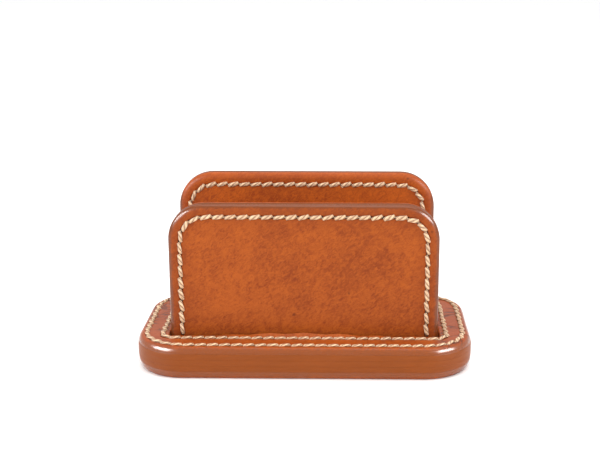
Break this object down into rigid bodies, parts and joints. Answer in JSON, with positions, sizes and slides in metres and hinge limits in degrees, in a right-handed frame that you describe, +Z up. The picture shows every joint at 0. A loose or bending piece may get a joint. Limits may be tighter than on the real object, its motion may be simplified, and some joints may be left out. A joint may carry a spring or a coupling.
{
  "type": "desk card holder",
  "caption": "Stitched tan leather desk stand for cards: a round-cornered laminated base with two upright panels and an open-ended slot between them.",
  "frame": {"origin": "centre of the base's underside, on the table it stands on", "axes": "+Z up; +X along the width of the panels and the base, to the right seen from the front; +Y to the back, from the lower panel to the higher one"},
  "size_m": [0.122, 0.064, 0.0655],
  "materials": {
    "grain_leather": "satin",
    "edge_leather": "satin",
    "linen_thread": "matte"
  },
  "bodies": {
    "root": {"base_bottom_cover": "grain_leather", "base_core_lower": "edge_leather", "base_core_upper": "edge_leather", "base_foot_frame": "edge_leather", "base_top_cover": "grain_leather", "front_outer_leather": "grain_leather", "front_stiffener": "edge_leather", "slot_liner": "grain_leather", "back_stiffener": "edge_leather", "back_outer_leather": "grain_leather", "front_panel_thread": "linen_thread", "back_panel_thread": "linen_thread", "window_thread": "linen_thread", "rim_thread": "linen_thread"}
  },
  "joints": []
}
